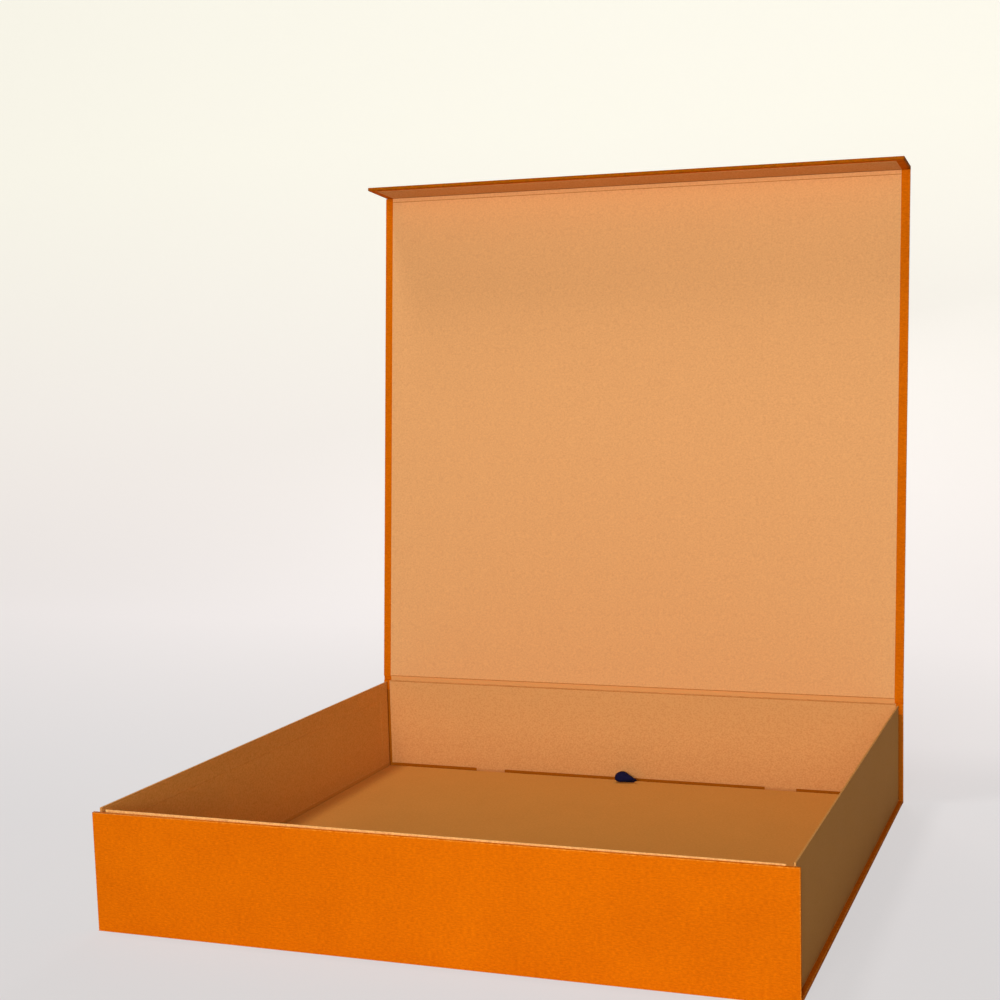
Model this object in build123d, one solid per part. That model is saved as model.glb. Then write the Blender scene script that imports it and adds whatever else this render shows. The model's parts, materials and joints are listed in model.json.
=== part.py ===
from build123d import *
import os
from math import acos, atan2, cos, hypot, radians, sin

# Collapsible storage box with a book-style lid, in millimetres.
# The origin is on the ground under the middle of the base, +Y runs to the hinged back, +Z is up.
# Every panel is a greyboard wrapped in cover paper and faced with lining paper on its inner side.
# A panel is drawn standing, with its outer face on the XZ plane and its thickness towards -Y,
# and is then laid, turned or tilted into its place.

# Case
case_width = 400.0
case_depth = 368.0
front_height = 68.6
back_height = 70.8
side_height = 70.4
flap_length = 33.0

# Rest position of the lid, leaning back from the upright, and of the flap, turned in from the lid
lid_lean = 5.3
flap_turn = 90.0

# Boards and papers
board = 2.0
cover_paper = 0.2
lining_paper = 0.2
turn_in = 15.0
liner_card = 0.6
side_card = 0.8
floor_card = 1.5
side_turn_in = 12.0

# Margins of cover paper left bare around the linings
lining_margin = 6.0
flap_margin = 4.0
side_margin = 1.2
front_liner_margin = 7.5
back_liner_margin = 5.0
front_liner_rise = 1.2

# Creases, with the bare paper between two boards, and the small root left at each crease
lid_crease_gap = 3.0
flap_crease_gap = 3.0
crease_root = 0.5
wall_foot_gap = 0.1
wall_base_gap = 0.3
flap_clearance = 0.3

# Side walls, which stand in from the edge of the base on low sills
side_inset = 2.8
side_end_gap = 0.4
side_back_gap = 2.4
fold_clearance = 0.2
side_hinge_height = 1.9
side_hinge_paper = 0.15
sill_gap = 0.1

# False bottom and its running gaps
floor_side_gap = 0.5
floor_front_gap = 0.6
floor_slot = 3.0
floor_seat_gap = 0.1

# Feet of the back liner, which reach down past the false bottom
liner_slot = 1.4
foot_width = 23.0
foot_offset = 112.5
foot_gap = 0.3

# Magnets in the flap and steel discs in the front wall
disc_radius = 6.0
disc_thickness = 1.0
disc_offset = 120.0
disc_reach = 20.0

# Ribbon pull of the false bottom
ribbon_thickness = 0.2
ribbon_width = 10.0
ribbon_tail = 22.0
ribbon_centre = 3.1
ribbon_reach = 18.0
ribbon_front = 8.8
ribbon_tip = 2.4
ribbon_bulge = 1.6
ribbon_fold = 1.0
ribbon_slope = 38.0
ribbon_gap = 0.3

edge_radius = 0.15

# Sizes that follow from those above
half_width = case_width / 2
half_depth = case_depth / 2
panel = cover_paper + board + cover_paper
lined_panel = panel + lining_paper
lined_wall = panel + liner_card
side_panel = cover_paper + side_card + cover_paper
lined_side = side_panel + lining_paper
floor_panel = cover_paper + floor_card + cover_paper
base_top = lined_panel
floor_under = base_top + floor_seat_gap + max(0, ribbon_thickness - cover_paper)
floor_top = floor_under + floor_panel
crease_height = floor_top + fold_clearance
wall_foot = cover_paper + wall_foot_gap
base_front = -half_depth + lined_wall + wall_base_gap
base_back = half_depth - lined_wall - wall_base_gap
lid_axis_height = back_height + lid_crease_gap
lid_length = case_depth + lined_panel + flap_clearance
lid_end = lid_length - flap_crease_gap
side_face = half_width - side_inset
side_inner_face = side_face - lined_side
side_front = -half_depth + lined_wall + side_end_gap
side_back = half_depth - lined_wall - side_back_gap
floor_half_width = side_inner_face - floor_side_gap
floor_front = -half_depth + lined_wall + floor_front_gap
floor_back = half_depth - lined_wall - floor_slot


def block(x, y, z):
    """A box between two limits on each axis."""
    size = [high - low for low, high in (x, y, z)]
    middle = [(low + high) / 2 for low, high in (x, y, z)]
    return Pos(*middle) * Box(*size)


def panel_core(width, low, high, core, wraps_low, wraps_high):
    """The bare board of a wrapped panel that reaches from low to high."""
    bottom = low + cover_paper if wraps_low else low
    top = high - cover_paper if wraps_high else high
    half = width / 2 - cover_paper
    return block((-half, half), (-cover_paper - core, -cover_paper), (bottom, top))


def panel_cover(width, low, high, core, fold, wraps_low, wraps_high):
    """The paper round a board: its outer face, the wrapped edges and the turned-in margins."""
    thickness = cover_paper + core + cover_paper
    half = width / 2
    paper = block((-half, half), (-thickness, 0), (low, high))
    paper = fillet(paper.edges().filter_by(Axis.Z), edge_radius)
    past = thickness
    core_low = low + cover_paper if wraps_low else low - past
    core_high = high - cover_paper if wraps_high else high + past
    paper -= block(
        (-half + cover_paper, half - cover_paper), (-cover_paper - core, -cover_paper), (core_low, core_high)
    )
    open_low = low + fold if wraps_low else low - past
    open_high = high - fold if wraps_high else high + past
    paper -= block((-half + fold, half - fold), (-thickness - past, -cover_paper - core / 2), (open_low, open_high))
    return paper


def panel_lining(width, low, high, core, facing, cover):
    """The facing of a panel, which fills the space inside the turned-in margins as well."""
    thickness = cover_paper + core + cover_paper
    sheet = block((-width / 2, width / 2), (-thickness - facing, -cover_paper - core), (low, high))
    return sheet - cover


def standing(part, y=0.0):
    """A panel standing with its outer face towards +Y."""
    return Pos(0, y, 0) * part


def facing_front(part):
    """A panel turned so that its outer face is the front of the case."""
    return Pos(0, -half_depth, 0) * Rot(0, 0, 180) * part


def face_down(part):
    """A panel laid on its outer face, with its low end to the front."""
    return Rot(-90, 0, 0) * part


def face_up(part, top):
    """A panel laid with its outer face up at the given height, with its low end to the back."""
    return Pos(0, 0, top) * Rot(90, 0, 0) * part


def on_lid(part):
    """From the lid's own upright position to its lean, about the crease at its foot."""
    return Pos(0, half_depth, lid_axis_height) * Rot(-lid_lean, 0, 0) * part


def on_flap(part):
    """From the flap's flat position to its turn from the lid, about the crease at its root."""
    return on_lid(Pos(0, 0, lid_length) * Rot(flap_turn, 0, 0) * part)


def at_side(part, side):
    """A wall turned so that its outer face looks away from the middle, -1 for left and 1 for right."""
    return Pos(side * side_face, 0, 0) * Rot(0, 0, -90 * side) * part


def discs(y, z):
    """A pair of discs, with their faces square to Y, sunk from y towards -Y."""
    disc = Rot(90, 0, 0) * Cylinder(disc_radius, disc_thickness)
    return [Pos(x, y - disc_thickness / 2, z) * disc for x in (-disc_offset, disc_offset)]


def base_parts():
    """Base board, its cover with the strips under both walls, and its lining."""
    span = (case_width, base_front, base_back)
    core = panel_core(*span, board, False, False)
    cover = panel_cover(*span, board, turn_in, False, False)
    lining_width = case_width - 2 * side_inset
    lining = panel_lining(lining_width, base_front, base_back, board, lining_paper, cover)
    cover = face_down(cover)
    for low, high in ((-half_depth, base_front), (base_back, half_depth)):
        cover += block((-half_width, half_width), (low, high), (0, cover_paper))
    return {"base_board": face_down(core), "base_cover": cover, "base_lining": face_down(lining)}


def sill(side):
    """A low strip of card on the base, which carries the crease of a side wall."""
    inner = side_inner_face + lining_paper
    span = sorted((side * inner, side * side_face))
    return block(span, (side_front, side_back), (base_top, crease_height - sill_gap))


def front_parts():
    """Front wall: board with sunk steel discs, cover, liner card and the discs themselves."""
    span = (case_width, wall_foot, front_height)
    keepers = discs(-cover_paper, lid_axis_height - disc_reach)
    core = panel_core(*span, board, False, True)
    for keeper in keepers:
        core -= keeper
    cover = panel_cover(*span, board, turn_in, False, True)
    liner_width = case_width - 2 * front_liner_margin
    liner = panel_lining(
        liner_width, wall_foot, front_height + front_liner_rise, board, liner_card, cover
    )
    liner -= block((-half_width, half_width), (-panel, 0), (front_height - cover_paper, front_height + lined_wall))
    return {
        "front_board": facing_front(core),
        "front_cover": facing_front(cover),
        "front_liner": facing_front(liner),
        "front_discs": facing_front(Compound(children=keepers)),
    }


def back_parts():
    """Back wall: board, cover and a liner card that ends above the false bottom but for two feet."""
    span = (case_width, wall_foot, back_height)
    core = panel_core(*span, board, False, False)
    cover = panel_cover(*span, board, turn_in, False, False)
    liner_width = case_width - 2 * back_liner_margin
    liner = panel_lining(liner_width, base_top + foot_gap, back_height, board, liner_card, cover)
    edge = floor_top + liner_slot
    middle = foot_offset - foot_width / 2
    outer = foot_offset + foot_width / 2
    for low, high in ((-half_width, -outer), (-middle, middle), (outer, half_width)):
        liner -= block((low, high), (-lined_wall, -panel), (0, edge))
    return {
        "back_board": standing(core, half_depth),
        "back_cover": standing(cover, half_depth),
        "back_liner": standing(liner, half_depth),
    }


def crease_strip(low, high, outer):
    """Two glued papers between two boards: the cover outside and the lining inside it."""
    wide = case_width if outer else case_width - 2 * lining_margin
    depth = (-cover_paper, 0) if outer else (-cover_paper - lining_paper, -cover_paper)
    return block((-wide / 2, wide / 2), depth, (low, high))


def crease_parts():
    """The papers that join back wall to lid and lid to flap."""
    low = back_height
    high = lid_axis_height
    return {
        "lid_crease_cover": standing(crease_strip(low, high, True), half_depth),
        "lid_crease_lining": standing(crease_strip(low, high, False), half_depth),
        "flap_crease_cover": on_lid(crease_strip(lid_end, lid_length, True)),
        "flap_crease_lining": on_lid(crease_strip(lid_end, lid_length, False)),
    }


def lid_parts():
    """Lid board, cover and lining, from crease to crease."""
    span = (case_width, crease_root, lid_end)
    core = panel_core(*span, board, False, False)
    cover = panel_cover(*span, board, turn_in, False, False)
    lining_width = case_width - 2 * lining_margin
    lining = panel_lining(lining_width, crease_root, lid_end, board, lining_paper, cover)
    return {"lid_board": on_lid(core), "lid_cover": on_lid(cover), "lid_lining": on_lid(lining)}


def flap_parts():
    """Flap board with sunk magnets, cover, lining and the magnets."""
    span = (case_width, crease_root, flap_length)
    magnets = discs(-cover_paper - board + disc_thickness, disc_reach)
    core = panel_core(*span, board, False, True)
    for magnet in magnets:
        core -= magnet
    cover = panel_cover(*span, board, turn_in, False, True)
    lining_width = case_width - 2 * lining_margin
    lining = panel_lining(
        lining_width, crease_root, flap_length - flap_margin, board, lining_paper, cover
    )
    return {
        "flap_board": on_flap(core),
        "flap_cover": on_flap(cover),
        "flap_lining": on_flap(lining),
        "flap_magnets": on_flap(Compound(children=magnets)),
    }


def side_parts(side):
    """One side wall: card, wrapped paper, inner lining and the paper strip of its crease."""
    length = side_back - side_front
    shift = Pos(0, (side_front + side_back) / 2, 0)
    core = panel_core(length, crease_height, side_height, side_card, False, True)
    cover = panel_cover(length, crease_height, side_height, side_card, side_turn_in, False, True)
    lining_low = crease_height + side_hinge_height
    lining_high = side_height - side_margin
    lining_length = length - 2 * side_margin
    lining = panel_lining(lining_length, lining_low, lining_high, side_card, lining_paper, cover)
    strip = block(
        (-lining_length / 2, lining_length / 2),
        (-side_panel - side_hinge_paper, -side_panel),
        (base_top + sill_gap, lining_low),
    )
    name = "left" if side < 0 else "right"
    return {
        "side_board_" + name: shift * at_side(core, side),
        "side_cover_" + name: shift * at_side(cover, side),
        "side_lining_" + name: shift * at_side(lining, side),
        "side_crease_" + name: shift * at_side(strip, side),
        "side_sill_" + name: sill(side),
    }


def floor_parts():
    """False bottom: card wrapped in lining paper on all four edges, open where the ribbon goes in."""
    span = (2 * floor_half_width, -floor_back, -floor_front)
    core = panel_core(*span, floor_card, True, True)
    cover = panel_cover(*span, floor_card, side_turn_in, True, True)
    return {
        "floor_board": face_up(core, floor_top),
        "floor_lining": face_up(cover, floor_top) - ribbon_tail_block(ribbon_gap / 2),
    }


def ribbon_tail_block(gap):
    """The flat tails of the ribbon under the rear edge of the false bottom, grown by a gap."""
    half = ribbon_width / 2 + gap
    under = floor_under + cover_paper
    return block(
        (ribbon_centre - half, ribbon_centre + half),
        (floor_back - ribbon_tail, floor_back + gap),
        (under - ribbon_thickness, under),
    )


def ribbon_loop(tip, foot):
    """The flattened loop, a drop that lies over to the left and rises from its foot to the back.

    The drop is as high as the ribbon is wide. Its round end is an arc and its flanks touch that arc.
    """
    radius = ribbon_width / 2
    middle = (tip - ribbon_reach + radius, radius)
    reach = (tip - middle[0], ribbon_tip - middle[1])
    span = hypot(*reach)
    towards = atan2(reach[1], reach[0])
    spread = acos(radius / span)
    upper, lower = [
        (middle[0] + radius * cos(towards + turn), middle[1] + radius * sin(towards + turn))
        for turn in (spread, -spread)
    ]
    slope = radians(ribbon_slope)
    lie = Plane(origin=(0, *foot), x_dir=(1, 0, 0), z_dir=(0, -sin(slope), cos(slope)))
    with BuildSketch(lie) as outline:
        with BuildLine():
            Line((tip, ribbon_tip), lower)
            ThreePointArc(lower, (middle[0] - radius, middle[1]), upper)
            Line(upper, (tip, ribbon_tip))
        make_face()
    return extrude(outline.sketch, amount=ribbon_bulge)


def ribbon_parts():
    """Ribbon pull: a tail under the false bottom, a riser in the slot, a root and a loop above."""
    low = floor_under + cover_paper - ribbon_thickness
    near = floor_back + ribbon_gap
    far = near + ribbon_thickness
    span = (ribbon_centre - ribbon_width / 2, ribbon_centre + ribbon_width / 2)
    rest = floor_top + ribbon_gap
    front = floor_back - ribbon_front
    step = block(span, (floor_back, far), (low, low + ribbon_thickness))
    riser = block(span, (near, far), (low, rest + ribbon_fold))
    root = block(span, (front, far), (rest, rest + ribbon_fold))
    loop = ribbon_loop(span[1], (front, rest))
    return {"ribbon_pull": ribbon_tail_block(0) + step + riser + root + loop}


def main():
    """Build every node and write it to its own file."""
    nodes = {}
    for parts in (
        base_parts(),
        front_parts(),
        back_parts(),
        crease_parts(),
        lid_parts(),
        flap_parts(),
        side_parts(-1),
        side_parts(1),
        floor_parts(),
        ribbon_parts(),
    ):
        nodes.update(parts)
    os.makedirs("parts", exist_ok=True)
    for name, part in nodes.items():
        export_step(part, f"parts/{name}.step")


main()
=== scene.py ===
"""Looks of a collapsible storage box: cover and lining papers, creases, ribbon, light and camera."""

import json
import logging
import math
from dataclasses import dataclass, replace
from enum import Enum

import bmesh
import bpy
from mathutils import Matrix, Vector


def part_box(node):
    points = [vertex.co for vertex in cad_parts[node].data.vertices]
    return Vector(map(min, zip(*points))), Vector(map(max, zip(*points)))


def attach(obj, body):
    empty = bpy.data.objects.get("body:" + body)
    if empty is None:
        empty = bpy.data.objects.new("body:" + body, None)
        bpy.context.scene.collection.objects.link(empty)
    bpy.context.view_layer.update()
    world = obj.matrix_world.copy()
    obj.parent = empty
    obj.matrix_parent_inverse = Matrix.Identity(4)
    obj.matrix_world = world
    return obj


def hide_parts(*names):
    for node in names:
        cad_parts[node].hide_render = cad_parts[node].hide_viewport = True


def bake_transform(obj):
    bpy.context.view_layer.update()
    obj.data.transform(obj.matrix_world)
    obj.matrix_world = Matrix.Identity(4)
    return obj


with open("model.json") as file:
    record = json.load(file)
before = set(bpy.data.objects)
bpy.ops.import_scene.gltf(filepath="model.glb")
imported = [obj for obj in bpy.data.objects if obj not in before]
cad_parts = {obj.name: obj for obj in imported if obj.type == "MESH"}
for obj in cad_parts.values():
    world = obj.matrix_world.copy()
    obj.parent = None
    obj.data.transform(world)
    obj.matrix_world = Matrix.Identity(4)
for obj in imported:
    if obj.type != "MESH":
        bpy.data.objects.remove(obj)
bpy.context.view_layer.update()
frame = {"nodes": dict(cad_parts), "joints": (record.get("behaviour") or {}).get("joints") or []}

LOG = logging.getLogger("storage_box")
# The name under which each mesh keeps how near its points lie to a rim.
EDGE = "edge"

# Shared values, with lengths in metres and angles in radians

MM = 0.001
PAPER = 0.2 * MM
# Two places that lie nearer than this are the same place.
TOUCH = 1e-6
# A corner that lies nearer than this to a cutting plane lies on it.
ON_PLANE = 1e-7
# A face looks along an axis when its normal has more than this share along it.
SQUARE = 0.9
# An edge is sharp when its faces turn by more than this.
SHARP = 1.0


class Slot(Enum):
    """Material slots of the record."""

    BOARD = "greyboard"
    COVER = "cover_paper"
    LINING = "lining_paper"
    SIDE = "side_paper"
    RIBBON = "ribbon"
    DISC = "disc_steel"


class Grain(Enum):
    """How a paper's surface runs: the length of a fleck along X, Y and Z, in millimetres."""

    LAID = (2.3, 2.3, 0.75)
    FINE = (1.3, 1.3, 1.1)
    ROUGH = (1.8, 1.8, 1.8)


def link_mesh(name: str, shape: bmesh.types.BMesh) -> bpy.types.Object:
    """Turns a finished bmesh into an object at the origin.

    Args:
        name: the object's name.
        shape: the mesh, in metres, in the part's own frame. It is freed.

    Returns:
        The new object, linked to the scene.
    """
    data = bpy.data.meshes.new(name)
    shape.to_mesh(data)
    shape.free()
    piece = bpy.data.objects.new(name, data)
    bpy.context.scene.collection.objects.link(piece)
    return piece


def new_mesh(name: str, shape: bmesh.types.BMesh) -> bpy.types.Object:
    """Turns the faces of a closed bmesh outwards and makes it an object."""
    bmesh.ops.recalc_face_normals(shape, faces=shape.faces)
    return link_mesh(name, shape)


def local_box(node: str, place: Matrix) -> tuple[Vector, Vector]:
    """The corners of a CAD node in a panel's own upright position.

    Args:
        node: the node's name.
        place: the matrix that takes the upright panel to its place at rest.

    Returns:
        The lowest and the highest corner, in metres.
    """
    back = place.inverted()
    points = [back @ v.co for v in frame["nodes"][node].data.vertices]
    low = Vector([min(p[i] for p in points) for i in range(3)])
    high = Vector([max(p[i] for p in points) for i in range(3)])
    return low, high


# Shader groups


class Group:
    """A shader node group with named inputs and outputs, built once."""

    def __init__(self, name: str) -> None:
        """Starts an empty group of the given name."""
        self.tree = bpy.data.node_groups.new(name, "ShaderNodeTree")
        self.start = self.tree.nodes.new("NodeGroupInput")
        self.end = self.tree.nodes.new("NodeGroupOutput")

    def takes(self, name: str, kind: str) -> bpy.types.NodeSocket:
        """Adds an input socket and returns its end inside the group.

        Args:
            name: the socket's name.
            kind: the socket type without its prefix, such as Float.

        Returns:
            The output socket of the group's input node.
        """
        self.tree.interface.new_socket(name, in_out="INPUT", socket_type="NodeSocket" + kind)
        return self.start.outputs[name]

    def gives(self, name: str, kind: str, source: bpy.types.NodeSocket) -> None:
        """Adds an output socket fed by the given socket."""
        self.tree.interface.new_socket(name, in_out="OUTPUT", socket_type="NodeSocket" + kind)
        self.tree.links.new(source, self.end.inputs[name])


class Nodes:
    """Short calls that add nodes to a tree and link them."""

    def __init__(self, tree: bpy.types.NodeTree) -> None:
        """Works on the given node tree."""
        self.tree = tree

    def add(self, kind: str) -> bpy.types.Node:
        """Adds a shader node of a type that is named without its prefix."""
        return self.tree.nodes.new("ShaderNode" + kind)

    def put(self, socket: bpy.types.NodeSocket, value: object) -> None:
        """Links a socket to another, or sets its default value."""
        if isinstance(value, bpy.types.NodeSocket):
            self.tree.links.new(value, socket)
        elif value is not None:
            socket.default_value = value

    def math(self, operation: str, a: object, b: object = None, c: object = None) -> bpy.types.NodeSocket:
        """A Math node on up to three values or sockets."""
        node = self.add("Math")
        node.operation = operation
        for socket, value in zip(node.inputs, (a, b, c)):
            self.put(socket, value)
        return node.outputs[0]

    def swing(self, value: object, share: object, base: object) -> bpy.types.NodeSocket:
        """A base plus a share of how far a value lies above one half."""
        return self.math("MULTIPLY_ADD", self.math("SUBTRACT", value, 0.5), share, base)

    def scaled(self, vector: object, factors: object) -> bpy.types.NodeSocket:
        """A vector multiplied by three factors."""
        node = self.add("VectorMath")
        node.operation = "MULTIPLY"
        self.put(node.inputs[0], vector)
        self.put(node.inputs[1], factors)
        return node.outputs[0]

    def noise(self, vector: object, scale: object, detail: float, rough: float) -> bpy.types.NodeSocket:
        """The value of a noise texture."""
        node = self.add("TexNoise")
        self.put(node.inputs["Vector"], vector)
        self.put(node.inputs["Scale"], scale)
        node.inputs["Detail"].default_value = detail
        node.inputs["Roughness"].default_value = rough
        return node.outputs["Fac"]

    def spread(
        self, value: object, low: float, high: float, to_low: object, to_high: object
    ) -> bpy.types.NodeSocket:
        """A value taken from one range to another and kept inside it."""
        node = self.add("MapRange")
        for name, item in (("Value", value), ("From Min", low), ("From Max", high)):
            self.put(node.inputs[name], item)
        self.put(node.inputs["To Min"], to_low)
        self.put(node.inputs["To Max"], to_high)
        return node.outputs["Result"]

    def mix(self, share: object, first: object, second: object, kind: str = "MIX") -> bpy.types.NodeSocket:
        """Two colours mixed by a share."""
        node = self.add("Mix")
        node.data_type = "RGBA"
        node.blend_type = kind
        self.put(node.inputs["Factor"], share)
        self.put(node.inputs["A"], first)
        self.put(node.inputs["B"], second)
        return node.outputs["Result"]

    def group(self, tree: bpy.types.NodeTree, **values: object) -> bpy.types.Node:
        """Places a node group and sets or links its inputs by name."""
        node = self.add("Group")
        node.node_tree = tree
        for name, value in values.items():
            self.put(node.inputs[name.replace("_", " ").capitalize()], value)
        return node


class Surface:
    """A new material with its main shader, ready for nodes of its own."""

    def __init__(self, name: str) -> None:
        """Makes a material of the given name."""
        self.made = bpy.data.materials.new(name)
        self.made.use_nodes = True
        self.nodes = Nodes(self.made.node_tree)
        self.shader = self.made.node_tree.nodes["Principled BSDF"]
        self.where = self.nodes.add("TexCoord").outputs["Object"]

    def put(self, name: str, value: object) -> None:
        """Sets or links an input of the main shader."""
        self.nodes.put(self.shader.inputs[name], value)

    def edge(self) -> bpy.types.NodeSocket:
        """How near each place lies to a rim of its piece, from 0 to 1."""
        node = self.nodes.add("Attribute")
        node.attribute_name = EDGE
        return node.outputs["Fac"]

    def bump(self, height: bpy.types.NodeSocket, relief: float) -> None:
        """Raises the surface where a height is high, by up to the relief in millimetres."""
        node = self.nodes.add("Bump")
        node.inputs["Distance"].default_value = relief * MM
        self.nodes.put(node.inputs["Height"], height)
        self.put("Normal", node.outputs["Normal"])


@dataclass(frozen=True)
class Paper:
    """A finish of paper glued on board.

    Attributes:
        slot: the material slot that it fills.
        tone: its main colour, linear.
        deep: the colour of its darker flecks.
        pale: the colour of its rims, a painted highlight with some wear; on the flap's cover a painted
            shade.
        grain: how its flecks run.
        cross: how strongly short flecks cross the long ones.
        relief: the depth of its grain, in millimetres.
        dull: the roughness of its darker flecks.
        glossy: the roughness of its lighter ones.
        gleam: how much it mirrors.
    """

    slot: Slot
    tone: tuple[float, float, float]
    deep: tuple[float, float, float]
    pale: tuple[float, float, float]
    grain: Grain
    cross: float
    relief: float
    dull: float
    glossy: float
    gleam: float = 0.05

    def material(self, group: bpy.types.NodeTree) -> bpy.types.Material:
        """Makes the material of this paper.

        Args:
            group: the shader group that holds the paper's grain.

        Returns:
            The new material.
        """
        surface = Surface(self.slot.value + "_finish")
        laid = surface.nodes.group(
            group,
            vector=surface.where,
            fleck=[1 / (length * MM) for length in self.grain.value],
            edge=surface.edge(),
            tone=(*self.tone, 1.0),
            deep=(*self.deep, 1.0),
            pale=(*self.pale, 1.0),
            cross=self.cross,
            dull=self.dull,
            glossy=self.glossy,
        )
        surface.bump(laid.outputs["Height"], self.relief)
        surface.put("Base Color", laid.outputs["Colour"])
        surface.put("Roughness", laid.outputs["Roughness"])
        surface.put("Specular IOR Level", self.gleam)
        return surface.made


@dataclass(frozen=True)
class GrainMix:
    """How the layers of a paper's grain are mixed.

    Attributes:
        crossing: short flecks in a metre along X, Y and Z.
        fibres: fine fibres in a metre.
        drifts: slow changes of tone in a metre.
        fibre_height: the share of the fibres in the height.
        fibre_shade: their share in the tone.
        drift_shade: the share of the slow changes in the tone.
        rim_patchiness: how unevenly the rims turn pale, a painted highlight with some wear.
    """

    crossing: tuple[float, float, float] = (1150.0, 1150.0, 420.0)
    fibres: float = 2300.0
    drifts: float = 21.0
    fibre_height: float = 0.35
    fibre_shade: float = 0.5
    drift_shade: float = 0.9
    rim_patchiness: float = 0.9

    def build(self) -> bpy.types.NodeTree:
        """Builds the shader group that all papers share.

        Long flecks lie across the sheet, shorter ones cross them, and fine fibres and a slow
        drift of tone lie over both. Rims turn to the paper's pale colour, a painted highlight
        with some wear.

        Returns:
            The shader group.
        """
        group = Group("paper_grain")
        vector, fleck = group.takes("Vector", "Vector"), group.takes("Fleck", "Vector")
        edge = group.takes("Edge", "Float")
        tone, deep, pale = (group.takes(name, "Color") for name in ("Tone", "Deep", "Pale"))
        cross, dull, glossy = (group.takes(name, "Float") for name in ("Cross", "Dull", "Glossy"))
        nodes = Nodes(group.tree)
        laid = nodes.noise(nodes.scaled(vector, fleck), scale=1.0, detail=2.0, rough=0.62)
        crossing = nodes.noise(nodes.scaled(vector, self.crossing), scale=1.0, detail=1.0, rough=0.5)
        fibre = nodes.noise(vector, scale=self.fibres, detail=1.0, rough=0.5)
        drift = nodes.noise(vector, scale=self.drifts, detail=3.0, rough=0.6)
        streak = nodes.spread(laid, low=0.3, high=0.7, to_low=0.0, to_high=1.0)
        woven = nodes.math("MULTIPLY_ADD", crossing, cross, streak)
        height = nodes.math("MULTIPLY_ADD", fibre, self.fibre_height, woven)
        shade = nodes.swing(crossing, cross, streak)
        shade = nodes.swing(drift, self.drift_shade, shade)
        shade = nodes.swing(fibre, self.fibre_shade, shade)
        lightness = nodes.spread(shade, low=-0.2, high=1.2, to_low=0.0, to_high=1.0)
        # Rims turn pale: a painted highlight, with some wear.
        rim_lit_and_worn = nodes.swing(laid, self.rim_patchiness, edge)
        highlight_and_wear = nodes.spread(rim_lit_and_worn, low=0.62, high=1.05, to_low=0.0, to_high=0.75)
        group.gives("Colour", "Color", nodes.mix(highlight_and_wear, nodes.mix(lightness, deep, tone), pale))
        roughness = nodes.spread(shade, low=0.0, high=1.0, to_low=dull, to_high=glossy)
        group.gives("Roughness", "Float", roughness)
        group.gives("Height", "Float", height)
        return group.tree


@dataclass(frozen=True)
class Metal:
    """The finish of a bare steel disc, turned and lightly scratched.

    Attributes:
        slot: the material slot that it fills.
        tone: its colour, linear.
        rough: its roughness between the scratches and on them.
        scratches: scratches in a metre along X, Y and Z.
        stains: stains in a metre.
        stained: how light the stains are beside the tone.
        relief: the depth of the scratches, in millimetres.
    """

    slot: Slot
    tone: tuple[float, float, float]
    rough: tuple[float, float]
    scratches: tuple[float, float, float] = (300.0, 300.0, 5000.0)
    stains: float = 260.0
    stained: float = 0.7
    relief: float = 0.005

    def material(self) -> bpy.types.Material:
        """Makes the material, with fine scratches in its roughness and its bump."""
        surface = Surface(self.slot.value + "_finish")
        nodes = surface.nodes
        scratch = nodes.noise(
            nodes.scaled(surface.where, self.scratches), scale=1.0, detail=3.0, rough=0.6
        )
        stain = nodes.noise(surface.where, scale=self.stains, detail=2.0, rough=0.5)
        dark = tuple(value * self.stained for value in self.tone)
        surface.put("Base Color", nodes.mix(stain, (*dark, 1.0), (*self.tone, 1.0)))
        smooth, scratched = self.rough
        roughness = nodes.spread(scratch, low=0.3, high=0.7, to_low=smooth, to_high=scratched)
        surface.put("Roughness", roughness)
        surface.bump(scratch, self.relief)
        surface.put("Metallic", 1.0)
        return surface.made


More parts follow.
